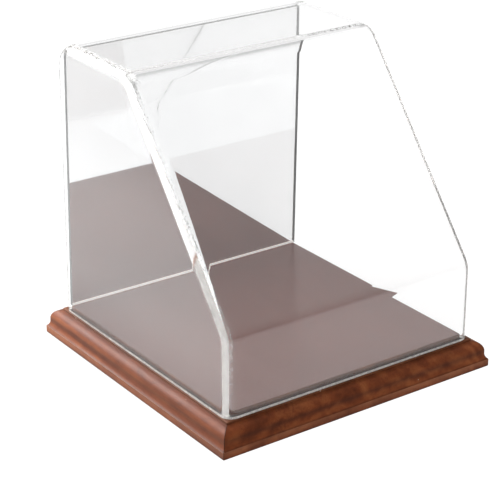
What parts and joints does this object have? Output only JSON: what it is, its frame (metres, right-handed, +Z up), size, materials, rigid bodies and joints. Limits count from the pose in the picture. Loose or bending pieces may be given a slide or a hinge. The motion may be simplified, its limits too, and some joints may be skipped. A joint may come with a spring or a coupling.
{
  "type": "display case",
  "caption": "Slant-front clear display case: bent acrylic cover with a mirror inside its back, lifting off a dark wood base with a moulded edge.",
  "frame": {"origin": "on the table under the centre of the square footprint, at the underside of the bumpers", "axes": "+Z up, -Y towards the low front lip, +X to the right seen from the front"},
  "size_m": [0.1524, 0.1524, 0.1524],
  "materials": {
    "wood": "satin reddish-brown stain and lacquer",
    "bumper_rubber": "matte",
    "clear_acrylic": "polished, clear",
    "mirror": "silvered acrylic sheet with a grey painted back"
  },
  "bodies": {
    "base": {"wood_base": "wood", "bumper_front_left": "bumper_rubber", "bumper_front_right": "bumper_rubber", "bumper_back_left": "bumper_rubber", "bumper_back_right": "bumper_rubber"},
    "cover": {"cover_wrap": "clear_acrylic", "cover_side_left": "clear_acrylic", "cover_side_right": "clear_acrylic", "mirror_panel": "mirror"}
  },
  "joints": [
    {"name": "cover_lift", "type": "slide", "parent": "base", "child": "cover", "axis": [0, 0, 1], "range_m": [0, 0.14]}
  ]
}
